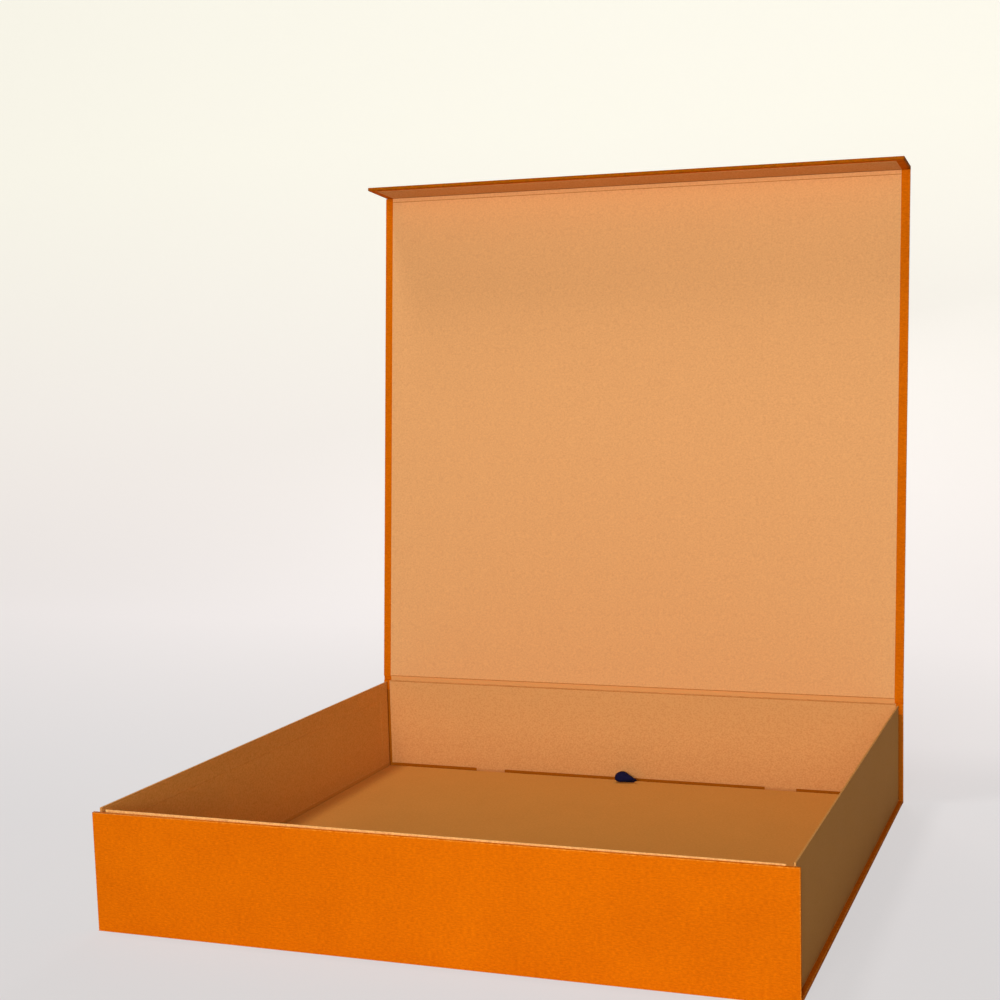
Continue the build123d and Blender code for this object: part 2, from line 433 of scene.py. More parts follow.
@dataclass(frozen=True)
class Woven:
    """The finish of a narrow woven ribbon, with ribs, threads and edges darkened by painted shade.

    Attributes:
        slot: the material slot that it fills.
        tone: its main colour, linear.
        pale: the colour of its raised threads.
        rib: the distance from rib to rib along X, in millimetres.
        thread: the distance from thread to thread along Z, in millimetres.
        wander: how unevenly the ribs run.
        thread_share: how strong the threads are beside the ribs.
        rim_shade: how light its edges are beside the tone, a painted shade on its rims.
        relief: the depth of the weave, in millimetres.
        gleam: how much it mirrors.
        bands: how many bands in a metre a wave texture of scale 1 shows, rounded.
    """

    slot: Slot
    tone: tuple[float, float, float]
    pale: tuple[float, float, float]
    rib: float
    thread: float
    wander: float = 0.6
    thread_share: float = 0.5
    rim_shade: float = 0.5
    relief: float = 0.05
    gleam: float = 0.06
    bands: float = 3.2

    def wave(self, surface: Surface, direction: str, spacing: float) -> bpy.types.Node:
        """Adds a wave texture whose bands follow one another along one axis."""
        node = surface.nodes.add("TexWave")
        node.bands_direction = direction
        node.inputs["Scale"].default_value = 1 / (spacing * MM) / self.bands
        surface.nodes.put(node.inputs["Vector"], surface.where)
        return node

    def material(self) -> bpy.types.Material:
        """Makes the material, with ribs along X and threads along Z in the part's own frame."""
        surface = Surface(self.slot.value + "_finish")
        nodes = surface.nodes
        ribs = self.wave(surface, "X", self.rib)
        ribs.inputs["Distortion"].default_value = self.wander
        threads = self.wave(surface, "Z", self.thread)
        across, along = threads.outputs["Fac"], ribs.outputs["Fac"]
        weave = nodes.math("MULTIPLY_ADD", across, self.thread_share, along)
        share = nodes.spread(weave, low=0.2, high=1.5, to_low=0.0, to_high=0.8)
        threads_shown = nodes.mix(share, (*self.tone, 1.0), (*self.pale, 1.0))
        # The rims are darkened: painted shade.
        rim_shade = tuple(value * self.rim_shade for value in self.tone)
        surface.put("Base Color", nodes.mix(surface.edge(), threads_shown, (*rim_shade, 1.0)))
        surface.put("Roughness", nodes.spread(weave, low=0.0, high=1.5, to_low=0.62, to_high=0.42))
        surface.bump(weave, self.relief)
        surface.put("Specular IOR Level", self.gleam)
        return surface.made


# Finishes

# The orange cover paper; its pale rims are a painted highlight, with some wear.
COVER = Paper(
    slot=Slot.COVER,
    tone=(0.79, 0.176, 0.0008),
    deep=(0.588, 0.108, 0.0005),
    pale=(0.97, 0.38, 0.045),
    grain=Grain.LAID,
    cross=0.5,
    relief=0.05,
    dull=0.7,
    glossy=0.55,
    gleam=0.01,
)
# The flap's cover paper, a little darker than the cover, with dark rims: painted shade on the flap and its
# front edge.
FLAP_SHADE = replace(COVER, tone=(0.75, 0.17, 0.0008), deep=(0.53, 0.103, 0.0005), pale=(0.1, 0.04, 0.003))
# A dark copy of the cover paper for the gaps round the back card: painted shade.
GAP_SHADE = replace(COVER, tone=(0.48, 0.13, 0.005), deep=(0.36, 0.09, 0.004), pale=(0.48, 0.13, 0.005))
# The lid's lining paper. It is paler and less saturated than CARD, TRAY and INSIDE, which stand for the
# same paper elsewhere: a painted haze of reflected light on the lid.
LINING = Paper(
    slot=Slot.LINING,
    tone=(0.814, 0.377, 0.145),
    deep=(0.786, 0.361, 0.137),
    pale=(0.95, 0.49, 0.18),
    grain=Grain.FINE,
    cross=0.5,
    relief=0.022,
    dull=0.85,
    glossy=0.75,
)
# The inner paper of the lid's crease, a lighter copy of the lining: painted light against the shade in the
# crease.
LIT_FOLD = replace(LINING, tone=(0.86, 0.402, 0.128), deep=(0.83, 0.386, 0.12), relief=0.01)
# A dark copy of the lining for thin lines along the creases: painted shade.
CREASE_SHADE = replace(LINING, tone=(0.58, 0.2, 0.04), deep=(0.5, 0.17, 0.03), relief=0.01)
CARD = replace(
    LINING, tone=(0.668, 0.273, 0.08), deep=(0.65, 0.263, 0.077), pale=(0.84, 0.43, 0.15), relief=0.01
)
# The front card with a painted highlight along its rims.
RIM = replace(CARD, pale=(1.0, 0.6, 0.2))
TRAY = replace(
    LINING, tone=(0.69, 0.3, 0.061), deep=(0.61, 0.26, 0.051), pale=(0.78, 0.38, 0.1), relief=0.03
)
INSIDE = replace(TRAY, tone=(0.69, 0.31, 0.054), deep=(0.61, 0.267, 0.045), relief=0.022)
SIDE = replace(
    CARD,
    slot=Slot.SIDE,
    tone=(0.675, 0.3, 0.07),
    deep=(0.63, 0.278, 0.063),
    pale=(0.84, 0.46, 0.16),
    relief=0.02,
)
BOARD = Paper(
    slot=Slot.BOARD,
    tone=(0.22, 0.16, 0.1),
    deep=(0.14, 0.1, 0.065),
    pale=(0.34, 0.27, 0.19),
    grain=Grain.ROUGH,
    cross=0.6,
    relief=0.06,
    dull=0.95,
    glossy=0.85,
)
RIBBON = Woven(Slot.RIBBON, tone=(0.003, 0.003, 0.014), pale=(0.013, 0.011, 0.08), rib=0.35, thread=0.5)
DISC = Metal(Slot.DISC, tone=(0.56, 0.56, 0.57), rough=(0.28, 0.45))


class Dresser:
    """Holds one material for each finish and dresses pieces and CAD nodes with them."""

    def __init__(self) -> None:
        """Makes all the materials."""
        group = GrainMix().build()
        papers = (COVER, FLAP_SHADE, GAP_SHADE, LINING, LIT_FOLD, CREASE_SHADE, CARD, RIM, TRAY, INSIDE, SIDE, BOARD)
        self.material = {paper: paper.material(group) for paper in papers}
        self.material[RIBBON] = RIBBON.material()
        self.material[DISC] = DISC.material()

    def piece(
        self, made: bpy.types.Object, finish: Paper | Metal | Woven, body: str | None, *nodes: str
    ) -> bpy.types.Object:
        """Gives a new piece its material, which names its slot, and its body, and hides the nodes that it
        stands for.

        Args:
            made: the piece.
            finish: its finish, which names its slot too.
            body: the body that it moves with, or None for a piece that bends between two.
            nodes: the CAD nodes that it replaces.

        Returns:
            The same piece.
        """
        made.data.materials.clear()
        made.data.materials.append(self.material[finish])
        if body is not None:
            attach(made, body)
        if nodes:
            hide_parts(*nodes)
        LOG.info("%s: %d faces, %s", made.name, len(made.data.polygons), finish.slot.value)
        return made

    def carried_over(self, node: str, finish: Paper | Metal | Woven) -> None:
        """Gives a CAD node that no piece replaces its procedural material."""
        data = frame["nodes"][node].data
        data.materials.clear()
        data.materials.append(self.material[finish])
        LOG.info("%s: carried over, %s", node, finish.slot.value)


# Shapes of wrapped boards and facings


def block(low: Vector, high: Vector) -> bmesh.types.BMesh:
    """A bmesh that holds one box between two corners."""
    shape = bmesh.new()
    bmesh.ops.create_cube(shape, size=1.0)
    size = Matrix.Diagonal((*(high - low), 1.0))
    bmesh.ops.transform(shape, matrix=Matrix.Translation((low + high) / 2) @ size, verts=shape.verts)
    return shape


def slice_faces(shape: bmesh.types.BMesh, faces: list, point: Vector, normal: Vector) -> None:
    """Cuts some faces of a mesh along a plane and keeps both halves."""
    edges = {edge for face in faces for edge in face.edges}
    corners = {vert for face in faces for vert in face.verts}
    bmesh.ops.bisect_plane(
        shape, geom=[*faces, *edges, *corners], plane_co=point, plane_no=normal, dist=ON_PLANE
    )


def cut(shape: bmesh.types.BMesh, axis: int, place: float) -> None:
    """Cuts a whole mesh square to an axis, 0, 1 or 2, at a place on it."""
    normal = Vector([1.0 if i == axis else 0.0 for i in range(3)])
    slice_faces(shape, shape.faces[:], normal * place, normal)


def pull_faces(shape: bmesh.types.BMesh, faces: list, step: Vector) -> None:
    """Pulls faces of a closed mesh outwards, each by itself, and closes the mesh round them."""
    grown = bmesh.ops.extrude_discrete_faces(shape, faces=faces)["faces"]
    corners = list({vert for face in grown for vert in face.verts})
    bmesh.ops.translate(shape, vec=step, verts=corners)
    bmesh.ops.recalc_face_normals(shape, faces=shape.faces)


def pull_region(shape: bmesh.types.BMesh, faces: list, step: Vector) -> None:
    """Pulls faces out together and deletes those that are left inside."""
    grown = bmesh.ops.extrude_face_region(shape, geom=faces)["geom"]
    moved = [item for item in grown if isinstance(item, bmesh.types.BMVert)]
    bmesh.ops.translate(shape, vec=step, verts=moved)
    bmesh.ops.delete(shape, geom=faces, context="FACES_ONLY")


def pull_edges(shape: bmesh.types.BMesh, edges: list, step: Vector) -> list:
    """Pulls edges along a step and returns the new ones."""
    grown = bmesh.ops.extrude_edge_only(shape, edges=edges)["geom"]
    moved = [item for item in grown if isinstance(item, bmesh.types.BMVert)]
    bmesh.ops.translate(shape, vec=step, verts=moved)
    return [item for item in grown if isinstance(item, bmesh.types.BMEdge)]


def turn_edges(shape: bmesh.types.BMesh, edges: list, centre: Vector, angle: float, steps: int) -> list:
    """Turns edges about an axis along X, with a surface behind them, and returns the last ones."""
    spun = bmesh.ops.spin(
        shape,
        geom=edges,
        cent=centre,
        axis=(1.0, 0.0, 0.0),
        angle=angle,
        steps=steps,
        use_merge=False,
    )
    return [item for item in spun["geom_last"] if isinstance(item, bmesh.types.BMEdge)]


def round_edges(shape: bmesh.types.BMesh, edges: list, radius: float, segments: int = 3) -> None:
    """Rounds some edges of a mesh."""
    bmesh.ops.bevel(
        shape,
        geom=edges,
        offset=radius,
        offset_type="OFFSET",
        affect="EDGES",
        segments=segments,
        profile=0.5,
        material=-1,
        clamp_overlap=True,
    )


def mark_edges(shape: bmesh.types.BMesh, low: Vector, high: Vector, open_sides: set, reach: float) -> None:
    """Writes how near each point lies to a rim of the box, 1 on a rim and 0 from reach inwards.

    Args:
        shape: the mesh, still in the panel's upright frame.
        low: the box's lowest corner.
        high: its highest corner.
        open_sides: the sides that are cut ends and not rims, as pairs of axis and end.
        reach: how far the mark reaches from a rim.
    """
    layer = shape.verts.layers.float.new(EDGE)
    for vert in shape.verts:
        gaps = []
        for axis in range(3):
            for end, gap in ((0, vert.co[axis] - low[axis]), (1, high[axis] - vert.co[axis])):
                if (axis, end) not in open_sides:
                    gaps.append(abs(gap))
        gaps.sort()
        vert[layer] = 1.0 - min(1.0, gaps[1] / reach)


@dataclass
class Wrap:
    """The paper round a board: its outer face, its rims and its turned-in margins.

    It lies upright: the outer face looks along Y and stands at zero, and heights are along Z.

    Attributes:
        width: the wrapped board's width.
        thickness: its thickness.
        low: its lower end.
        high: its upper end.
        fold: how wide the turned-in margins are.
        wraps_low: whether the paper is turned in over the lower end too.
        wraps_high: whether it is turned in over the upper end too.
        paper: how thick it is.
        rounding: the radius of its rims.
        soft: how far the pale colour of a rim reaches.
        seam: how deep the slanting seams of its corners are pressed.
        seam_reach: how long a seam is beside the margins' width.
        tilt: how much the upper rim is raised at the low and at the high end of X.
        cap_low: how far from the middle the paper starts to cover the cut lower end, or 0
            where it leaves that end open.
        cap_high: the same at the upper end.
    """

    width: float
    thickness: float
    low: float
    high: float
    fold: float
    wraps_low: bool = False
    wraps_high: bool = False
    paper: float = PAPER
    rounding: float = 0.45 * MM
    soft: float = 1.4 * MM
    seam: float = 0.12 * MM
    seam_reach: float = 1.6
    tilt: tuple[float, float] = (0.0, 0.0)
    cap_low: float = 0.0
    cap_high: float = 0.0

    def build(self, name: str, place: Matrix) -> bpy.types.Object:
        """Builds the paper as one closed shell.

        Args:
            name: the piece's name.
            place: the matrix from the upright panel to its place.

        Returns:
            The new object.
        """
        half = self.width / 2
        low, high = Vector((-half, -self.thickness, self.low)), Vector((half, 0.0, self.high))
        shape = block(low, high)
        sides = ((self.low, self.wraps_low), (self.high, self.wraps_high))
        ends = [end for end, wraps in sides if not wraps]
        rims = [e for e in shape.edges if not self.at_ends(e, ends)]
        round_edges(shape, rims, self.rounding)
        for side in (-1, 1):
            for place_x in {half - self.soft, half - self.fold, self.cap_low, self.cap_high} - {0.0}:
                cut(shape, 0, side * place_x)
        open_faces = [f for f in shape.faces if self.at_ends(f, ends) and not self.is_cap(f)]
        bmesh.ops.delete(shape, geom=open_faces, context="FACES")
        rows = []
        if self.wraps_high:
            rows += [self.high - self.soft, self.high - self.fold]
        if self.wraps_low:
            rows += [self.low + self.soft, self.low + self.fold]
        for row in rows:
            cut(shape, 2, row)
        self.mitre(shape, half)
        inner = [f for f in shape.faces if f.normal.y < -SQUARE]
        window = [f for f in inner if self.in_window(f.calc_center_median(), half)]
        bmesh.ops.delete(shape, geom=window, context="FACES")
        bmesh.ops.recalc_face_normals(shape, faces=shape.faces)
        bmesh.ops.solidify(shape, geom=shape.faces[:], thickness=self.paper)
        open_sides = {(2, end) for end, (_, wraps) in enumerate(sides) if not wraps}
        mark_edges(shape, low, high, open_sides, self.soft)
        for vert in shape.verts:
            if vert.co.z > self.high - 2 * self.soft:
                share = (vert.co.x / half + 1) / 2
                vert.co.z += self.tilt[0] * (1 - share) + self.tilt[1] * share
        bmesh.ops.transform(shape, matrix=place, verts=shape.verts)
        return new_mesh(name, shape)

    @staticmethod
    def at_ends(item: bmesh.types.BMEdge | bmesh.types.BMFace, ends: list[float]) -> bool:
        """Whether all corners of an edge or face lie on one of the cut ends."""
        return any(all(abs(v.co.z - end) < TOUCH for v in item.verts) for end in ends)

    def is_cap(self, face: bmesh.types.BMFace) -> bool:
        """Whether an end face is paper that is turned over the end of the board."""
        middle = face.calc_center_median()
        start = self.cap_high if middle.z > (self.low + self.high) / 2 else self.cap_low
        return start > 0 and abs(middle.x) > start

    def in_window(self, middle: Vector, half: float) -> bool:
        """Whether a point of the inner face lies inside the turned-in margins."""
        inside = abs(middle.x) < half - self.fold
        under = middle.z < self.high - self.fold or not self.wraps_high
        above = middle.z > self.low + self.fold or not self.wraps_low
        return inside and under and above

    def mitre(self, shape: bmesh.types.BMesh, half: float) -> None:
        """Presses the slanting seam of the turned-in paper into each wrapped corner."""
        for side in (-1, 1):
            for end, wraps in ((-1, self.wraps_low), (1, self.wraps_high)):
                if wraps:
                    corner = Vector((side * half, -self.thickness, self.high if end > 0 else self.low))
                    self.press_seam(shape, corner, Vector((side, 0.0, -end)).normalized())

    def press_seam(self, shape: bmesh.types.BMesh, corner: Vector, across: Vector) -> None:
        """Cuts three lines side by side and presses in the middle one, which runs through a corner."""
        for offset in (-2 * self.seam, 0.0, 2 * self.seam):
            near = [f for f in shape.faces if f.normal.y < -SQUARE and self.is_corner(f, corner)]
            slice_faces(shape, near, corner + across * offset, across)
        reach = self.seam_reach * self.fold
        for vert in shape.verts:
            gap = vert.co - corner
            on_seam = abs(gap.dot(across)) < TOUCH and gap.length < reach
            if on_seam and vert.co.y < -self.thickness + TOUCH:
                vert.co.y += self.seam

    def is_corner(self, face: bmesh.types.BMFace, corner: Vector) -> bool:
        """Whether a face lies within the square of doubled paper at a corner."""
        gap = face.calc_center_median() - corner
        return max(abs(gap.x), abs(gap.z)) < self.fold


@dataclass
class Facing:
    """A sheet or thin card glued on the inner face of a panel, over the turned-in margins.

    It lies upright, as a wrap does.

    Attributes:
        width: its width.
        depth: how far behind the panel's outer face it is glued.
        sheet: how thick it is.
        low: its lower end.
        high: its upper end.
        turn_x: how far from the middle the margins beneath it start, or 0 for none.
        turn_high: where the margin at the top starts, or 0 for none.
        lip_low: how far it reaches over the board's lower end.
        lip_high: how far it reaches over its upper end.
        rounding: the radius of its rims.
        sink: how far it sinks inside the margins.
        slope: how wide the step from the margins down is.
        soft: how far the pale colour of a rim reaches.
    """

    width: float
    depth: float
    sheet: float
    low: float
    high: float
    turn_x: float = 0.0
    turn_high: float = 0.0
    lip_low: float = 0.0
    lip_high: float = 0.0
    rounding: float = 0.12 * MM
    sink: float = 0.1 * MM
    slope: float = 0.5 * MM
    soft: float = 1.2 * MM

    def shell(self) -> bmesh.types.BMesh:
        """Builds the sheet in the panel's upright frame.

        Returns:
            The mesh, with its lips, its rounded rims and the print of the margins beneath it.
        """
        half = self.width / 2
        low = Vector((-half, -self.depth - self.sheet, self.low))
        high = Vector((half, -self.depth, self.high))
        shape = block(low, high)
        for end, lip in ((-1, self.lip_low), (1, self.lip_high)):
            if lip:
                self.add_lip(shape, end, lip)
        sharp = [e for e in shape.edges if self.is_rim(e)]
        round_edges(shape, sharp, self.rounding, segments=2)
        outer = -self.depth - self.sheet
        for side in (-1, 1):
            cut(shape, 0, side * (half - self.soft))
            if self.turn_x:
                for offset in (0.0, self.slope):
                    cut(shape, 0, side * (self.turn_x - offset))
        rows = [self.low + self.soft, self.high - self.soft]
        if self.turn_high:
            rows += [self.turn_high, self.turn_high - self.slope]
        for row in rows:
            cut(shape, 2, row)
        mark_edges(shape, low, high, set(), self.soft)
        for vert in shape.verts:
            if abs(vert.co.y - outer) < TOUCH and self.sinks(vert.co):
                vert.co.y += self.sink
        return shape

    def build(self, name: str, place: Matrix) -> bpy.types.Object:
        """Builds the sheet and puts it in place."""
        shape = self.shell()
        bmesh.ops.transform(shape, matrix=place, verts=shape.verts)
        return new_mesh(name, shape)

    def sinks(self, point: Vector) -> bool:
        """Whether a point of the sheet lies inside the margins that it covers."""
        middle = self.slope / 2
        across = bool(self.turn_x) and abs(point.x) < self.turn_x - middle
        return across and (not self.turn_high or point.z < self.turn_high - middle)

    def is_rim(self, edge: bmesh.types.BMEdge) -> bool:
        """Whether an edge is an outer one, and not one that touches the panel."""
        outward = min(v.co.y for v in edge.verts) < -self.depth - self.sheet / 2
        return edge.calc_face_angle(0.0) > SHARP and outward

    def add_lip(self, shape: bmesh.types.BMesh, end: int, lip: float) -> None:
        """Turns the sheet over the end of the board.

        Args:
            shape: the sheet as a box.
            end: 1 for the high end and -1 for the low one.
            lip: how far the paper reaches over the end.
        """
        cap = [f for f in shape.faces if f.normal.z * end > SQUARE]
        pull_faces(shape, cap, Vector((0, 0, end * self.sheet)))
        edge = self.high if end > 0 else self.low
        facing_back = [f for f in shape.faces if f.normal.y > SQUARE]
        back = [f for f in facing_back if (f.calc_center_median().z - edge) * end > 0]
        pull_faces(shape, back, Vector((0, lip, 0)))


@dataclass
class Strip:
    """A strip of paper along X that lies on two boards or bridges the gap between them.

    Attributes:
        width: its length along X.
        start: the middle of one long edge.
        end: the middle of the other.
        paper: how thick it is.
        outward: where its outer face looks.
        dip: how deep it is hollowed.
        flatness: how flat the hollow's floor is, as an even power.
        rows: into how many rows it is cut, so that it can bend.
    """

    width: float
    start: Vector
    end: Vector
    paper: float
    outward: Vector
    dip: float = 0.0
    flatness: int = 4
    rows: int = 12

    def build(self, name: str) -> bpy.types.Object:
        """Builds the strip along X, from start to end, with a shallow hollow between them."""
        shape = bmesh.new()
        bmesh.ops.create_grid(shape, x_segments=2, y_segments=self.rows, size=0.5)
        shape.verts.layers.float.new(EDGE)
        for vert in shape.verts:
            along, share = vert.co.x, vert.co.y + 0.5
            hollow = self.dip * (1 - (2 * share - 1) ** self.flatness)
            vert.co = self.start.lerp(self.end, share) - self.outward * hollow
            vert.co.x += along * self.width
        bmesh.ops.recalc_face_normals(shape, faces=shape.faces)
        if sum(face.normal.dot(self.outward) for face in shape.faces) < 0:
            bmesh.ops.reverse_faces(shape, faces=shape.faces[:])
        bmesh.ops.solidify(shape, geom=shape.faces[:], thickness=self.paper)
        return new_mesh(name, shape)


@dataclass
class Corner:
    """A cover paper that runs along one board, turns a right angle and runs along the next.

    Attributes:
        width: its length along X.
        first: the height at which it starts.
        turn: the height of the corner that it turns round.
        after: how far it runs on behind its turn, inwards.
        radius: the radius of its turn.
        paper: how thick it is.
        steps: how many flat pieces its turn has.
    """

    width: float
    first: float
    turn: float
    after: float
    radius: float
    paper: float = PAPER
    steps: int = 6

    def build(self, name: str, place: Matrix) -> bpy.types.Object:
        """Builds the paper in a panel's upright frame and puts it in place.

        Args:
            name: the piece's name.
            place: the matrix from the upright panel to its place.

        Returns:
            The new object.
        """
        up = 1.0 if self.turn > self.first else -1.0
        shape = bmesh.new()
        ends = [shape.verts.new((side * self.width / 2, 0.0, self.first)) for side in (-1, 1)]
        edges = [shape.edges.new(ends)]
        straight = self.turn - up * self.radius - self.first
        if abs(straight) > ON_PLANE:
            edges = pull_edges(shape, edges, Vector((0.0, 0.0, straight)))
        centre = Vector((0.0, -self.radius, self.turn - up * self.radius))
        edges = turn_edges(shape, edges, centre, up * math.pi / 2, self.steps)
        if self.after > 0:
            pull_edges(shape, edges, Vector((0.0, -self.after, 0.0)))
        bmesh.ops.recalc_face_normals(shape, faces=shape.faces)
        if sum(face.normal.y for face in shape.faces) < 0:
            bmesh.ops.reverse_faces(shape, faces=shape.faces[:])
        shape.verts.layers.float.new(EDGE)
        bmesh.ops.solidify(shape, geom=shape.faces[:], thickness=self.paper)
        bmesh.ops.transform(shape, matrix=place, verts=shape.verts)
        return new_mesh(name, shape)


# Places of the panels, read from the joints

JOINTS = {joint["name"]: joint for joint in frame["joints"]}
HALF_DEPTH = JOINTS["back_wall_fold"]["pos_m"][1]
LID_AXIS = Vector(JOINTS["lid_hinge"]["pos_m"])
FLAP_AXIS = Vector(JOINTS["flap_hinge"]["pos_m"])
LID_LENGTH = (FLAP_AXIS - LID_AXIS).length
# The lid is closed at its joint's lower end and leans back at rest by what that exceeds 90 degrees.
LEAN = math.radians(-JOINTS["lid_hinge"]["range_deg"][0] - 90.0)

# Where a panel's outer face looks while it lies upright.
OUTWARD = Vector((0.0, 1.0, 0.0))
BACK = Matrix.Translation((0, HALF_DEPTH, 0))
FRONT = Matrix.Translation((0, -HALF_DEPTH, 0)) @ Matrix.Rotation(math.pi, 4, "Z")
BASE = Matrix.Rotation(-math.pi / 2, 4, "X")
LID = Matrix.Translation(LID_AXIS) @ Matrix.Rotation(-LEAN, 4, "X")
FLAP = LID @ Matrix.Translation((0, 0, LID_LENGTH)) @ Matrix.Rotation(math.pi / 2, 4, "X")
FLOOR = Matrix.Translation((0, 0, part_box("floor_lining")[1].z)) @ Matrix.Rotation(math.pi / 2, 4, "X")


def side_place(side: int) -> Matrix:
    """The place of a side wall, -1 for left and 1 for right."""
    low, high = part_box("side_cover_left" if side < 0 else "side_cover_right")
    face = low.x if side < 0 else high.x
    middle = Vector((face, (low.y + high.y) / 2, 0))
    return Matrix.Translation(middle) @ Matrix.Rotation(-side * math.pi / 2, 4, "Z")


def wrap_of(board: str, place: Matrix, fold: float, **options: object) -> Wrap:
    """The wrap of a board node, sized from the board.

    Args:
        board: the board's node.
        place: the matrix from the upright panel to its place.
        fold: how wide the turned-in margins are.
        options: other fields of the wrap.

    Returns:
        The wrap.
    """
    low, high = local_box(board, place)
    return Wrap(
        width=high.x - low.x + 2 * PAPER,
        thickness=high.y - low.y + 2 * PAPER,
        low=low.z - PAPER * bool(options.get("wraps_low") or options.get("cap_low")),
        high=high.z + PAPER * bool(options.get("wraps_high") or options.get("cap_high")),
        fold=fold,
        **options,
    )


def facing_of(node: str, place: Matrix, sheet: float, **options: object) -> Facing:
    """The facing that replaces a lining node, with that node's outline and outer face."""
    low, high = local_box(node, place)
    return Facing(
        width=high.x - low.x,
        depth=-low.y - sheet,
        sheet=sheet,
        low=low.z,
        high=high.z,
        **options,
    )


@dataclass
class Case:
    """Base, front wall and back wall.

    Attributes:
        dresser: what dresses the pieces.
        turn_in: how wide the turned-in margins are.
        front_tilt: how much the front wall's top is raised at its right and at its left end.
        front_rounding: the radius of the front wall's rims.
        card: how thick both liner cards are.
        rim_rounding: the radius of the front card's rims.
        rim_soft: how far their pale colour, a painted highlight, reaches.
        foot_radius: the radius of the paper at the walls' feet.
        strip_height: how high the dark sheet of painted shade along the back wall's foot is.
        strip_lap: how far its upright ends reach behind the card.
        proud: how far it stands in front of the wrap.
        slot_height: how high the back card's lower edge lies above the false bottom.
        slot_slope: how much lower that edge is at the right.
        slot_reach: how far points may lie from that edge to slope with it.
        back_rounding: the radius of the back card's rims.
        back_soft: how far their pale colour reaches.
        lip: how far the back card's paper reaches over the board's top.
        foot_half: half the width of each of its feet.
        foot_centre: how far the middle of each foot is from the middle of the wall.
    """

    dresser: Dresser
    turn_in: float = 15 * MM
    front_tilt: tuple[float, float] = (0.5 * MM, -0.17 * MM)
    front_rounding: float = 0.6 * MM
    card: float = 0.6 * MM
    rim_rounding: float = 0.18 * MM
    rim_soft: float = 2.2 * MM
    foot_radius: float = 0.3 * MM
    strip_height: float = 9 * MM
    strip_lap: float = 1 * MM
    proud: float = 0.03 * MM
    slot_height: float = 1.4 * MM
    slot_slope: float = 0.4 * MM
    slot_reach: float = 0.6 * MM
    back_rounding: float = 0.15 * MM
    back_soft: float = 1.2 * MM
    lip: float = 2.2 * MM
    foot_half: float = 11.5 * MM
    foot_centre: float = 112.5 * MM

    def build(self) -> None:
        """Builds and dresses the three panels and the papers that join them."""
        give = self.dresser.piece
        wrap = wrap_of("base_board", BASE, self.turn_in)
        give(wrap.build("base_wrap", BASE), COVER, "base", "base_cover")
        lining = facing_of("base_lining", BASE, PAPER, turn_x=wrap.width / 2 - self.turn_in)
        give(lining.build("base_paper", BASE), TRAY, "base", "base_lining")
        front = wrap_of(
            "front_board",
            FRONT,
            self.turn_in,
            wraps_high=True,
            tilt=self.front_tilt,
            rounding=self.front_rounding,
        )
        give(front.build("front_wrap", FRONT), COVER, "front_wall", "front_cover")
        card = facing_of(
            "front_liner", FRONT, self.card, rounding=self.rim_rounding, soft=self.rim_soft
        )
        give(card.build("front_card", FRONT), RIM, "front_wall", "front_liner")
        liner_half = (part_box("back_liner")[1].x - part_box("back_liner")[0].x) / 2
        back = wrap_of("back_board", BACK, self.turn_in, cap_high=liner_half)
        give(back.build("back_wrap", BACK), COVER, "back_wall", "back_cover")
        # A sheet of painted shade in the gaps round the back card.
        give(self.strip(back), GAP_SHADE, "back_wall")
        give(self.back_card(), CARD, "back_wall", "back_liner")
        self.foot("front", FRONT)
        self.foot("back", BACK)
        for node in ("base_board", "front_board", "back_board"):
            self.dresser.carried_over(node, BOARD)
        self.dresser.carried_over("front_discs", DISC)

    def foot(self, name: str, place: Matrix) -> None:
        """Builds the paper that runs under a wall and turns up its outer face."""
        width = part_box("base_cover")[1].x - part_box("base_cover")[0].x
        start = local_box(name + "_board", place)[0].z
        gap = HALF_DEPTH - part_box("base_board")[1].y
        paper = Corner(width, start, 0.0, gap - self.foot_radius, self.foot_radius)
        piece = paper.build(name + "_foot_paper", place)
        self.dresser.piece(piece, COVER, None)
        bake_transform(piece)

    def strip(self, back: Wrap) -> bpy.types.Object:
        """Builds a dark sheet of painted shade at foot and ends of the back wall, seen in the gaps round
        the card.

        Args:
            back: the wrap of the back wall.

        Returns:
            The new object.
        """
        face = -back.thickness
        half = back.width / 2 - back.rounding
        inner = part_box("back_liner")[1].x - self.strip_lap
        foot = back.low + self.strip_height
        top = back.high - back.fold / 2
        shape = bmesh.new()
        for low_x, high_x, low_z, high_z in (
            (-half, half, back.low, foot),
            (-half, -inner, foot, top),
            (inner, half, foot, top),
        ):
            made = bmesh.ops.create_cube(shape, size=1.0)["verts"]
            size = Matrix.Diagonal((high_x - low_x, PAPER, high_z - low_z, 1.0))
            middle = Vector(((low_x + high_x) / 2, face + PAPER / 2 - self.proud, (low_z + high_z) / 2))
            bmesh.ops.transform(shape, matrix=Matrix.Translation(middle) @ size, verts=made)
        shape.verts.layers.float.new(EDGE)
        bmesh.ops.transform(shape, matrix=BACK, verts=shape.verts)
        return new_mesh("back_gap_shade", shape)

